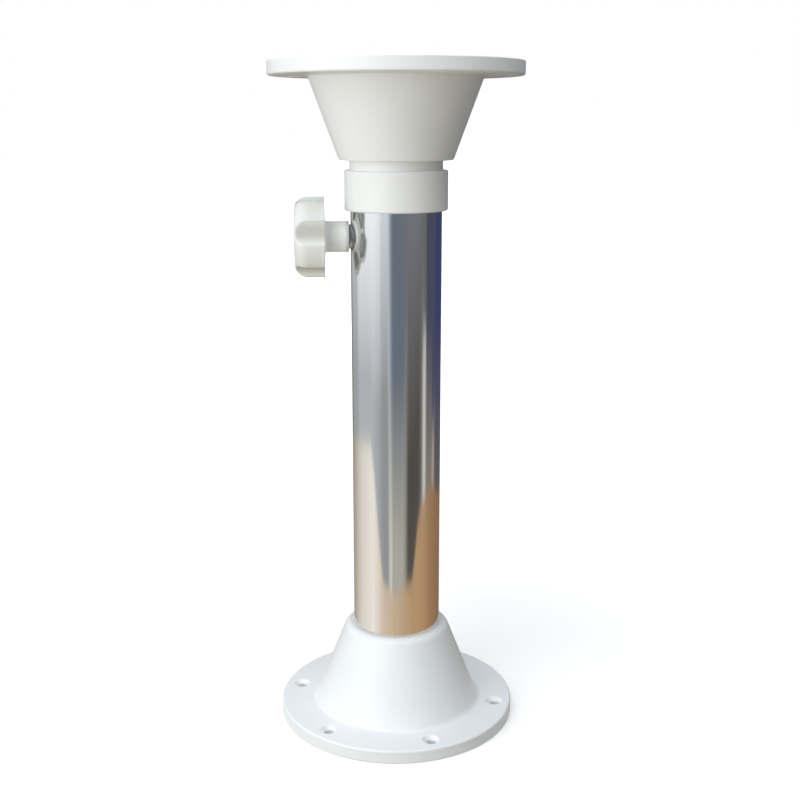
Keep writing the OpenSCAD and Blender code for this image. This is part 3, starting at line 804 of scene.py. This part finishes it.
def add_lamp(name, place, target, size, power, colour):
    """Area lamp at a place, facing a target, that no mirror shows."""
    lamp = bpy.data.lights.new(name, "AREA")
    lamp.shape = "RECTANGLE"
    lamp.size, lamp.size_y = size
    lamp.energy = power
    lamp.color = linear(colour)[:3]
    holder = bpy.data.objects.new(name, lamp)
    holder.location = place
    holder.rotation_euler = (target - place).to_track_quat("-Z", "Y").to_euler()
    bpy.context.scene.collection.objects.link(holder)
    holder.visible_glossy = False
    holder.visible_camera = False


def add_tube_glint():
    """The window light that the mirror tube throws on the knob's back and hub."""
    place = Vector((-0.0335, -0.006, KNOB_AXIS_Z))
    add_lamp("tube_glint", place, place - Vector((0.02, 0, 0)), (0.05, 0.05), 0.0045, "F6F8FA")


class PEDESTAL_OT_stage(bpy.types.Operator):
    """Make the floor, the studio cards, the lamps, the world and the camera"""
    bl_idname = "pedestal.stage"
    bl_label = "Make stage"

    def execute(self, context):
        scene = context.scene
        stage = scene.pedestal_stage
        mesh = bpy.data.meshes.new("stage_floor")
        reach = 12.0
        mesh.from_pydata([(-reach, -reach, 0), (reach, -reach, 0), (reach, reach, 0), (-reach, reach, 0)],
                         [], [(0, 1, 2, 3)])
        mesh.materials.append(floor_surface(stage.floor_colour, stage.bounce_colour))
        floor = bpy.data.objects.new("stage_floor", mesh)
        floor.location.z = -0.0002
        scene.collection.objects.link(floor)
        make_room(stage)
        add_softbox(stage, "window", -45, 0.3, 1.3, (1.2, 0.5), 6.5, "FBFDFF")
        add_softbox(stage, "front_fill", -36, 0.85, 1.25, (1.0, 1.2), 6, "FFFFFF")
        add_softbox(stage, "overhead", 10, 1.6, 0.3, (1.5, 1.5), 13.5, "F4FAFF")
        add_softbox(stage, "back_fill", -165, 0.9, 1.5, (1.2, 1.0), 5, "F8FAFC")
        add_tube_glint()
        white_world(scene)
        lens = bpy.data.cameras.new("photo_camera")
        lens.lens = stage.lens
        lens.sensor_width = 36
        lens.clip_start, lens.clip_end = 0.01, 60
        camera = bpy.data.objects.new("photo_camera", lens)
        camera.location = stage_direction(stage, 0) * stage.camera_distance + Vector((0, 0, stage.camera_height))
        camera.rotation_euler = (math.pi / 2 - stage.camera_pitch, 0, -stage.camera_side - stage.camera_aim)
        scene.collection.objects.link(camera)
        scene.camera = camera
        scene.view_settings.view_transform = "Standard"
        return {"FINISHED"}


class PEDESTAL_PT_panel(bpy.types.Panel):
    """Lists the steps that dress the pedestal"""
    bl_label = "Pedestal"
    bl_idname = "PEDESTAL_PT_panel"
    bl_space_type = "VIEW_3D"
    bl_region_type = "UI"
    bl_category = "Pedestal"

    def draw(self, context):
        for group in (context.scene.pedestal_finish, context.scene.pedestal_knob,
                      context.scene.pedestal_threads, context.scene.pedestal_stage):
            for name in group.__annotations__:
                self.layout.prop(group, name)
        for step in STEPS:
            self.layout.operator(step.bl_idname)


STEPS = (PEDESTAL_OT_mouldings, PEDESTAL_OT_tubes, PEDESTAL_OT_bushes, PEDESTAL_OT_hardware,
         PEDESTAL_OT_knob, PEDESTAL_OT_stage)
GROUPS = (PedestalFinish, PedestalKnob, PedestalThreads, PedestalStage)


def register():
    for kind in GROUPS + STEPS + (PEDESTAL_PT_panel,):
        bpy.utils.register_class(kind)
    bpy.types.Scene.pedestal_finish = PointerProperty(type=PedestalFinish)
    bpy.types.Scene.pedestal_knob = PointerProperty(type=PedestalKnob)
    bpy.types.Scene.pedestal_threads = PointerProperty(type=PedestalThreads)
    bpy.types.Scene.pedestal_stage = PointerProperty(type=PedestalStage)


def unregister():
    for name in ("pedestal_finish", "pedestal_knob", "pedestal_threads", "pedestal_stage"):
        delattr(bpy.types.Scene, name)
    for kind in reversed(GROUPS + STEPS + (PEDESTAL_PT_panel,)):
        bpy.utils.unregister_class(kind)


def main():
    """Runs every step in order."""
    register()
    bpy.ops.pedestal.mouldings()
    bpy.ops.pedestal.tubes()
    bpy.ops.pedestal.bushes()
    bpy.ops.pedestal.hardware()
    bpy.ops.pedestal.knob()
    bpy.ops.pedestal.stage()


if __name__ == "__main__":
    main()
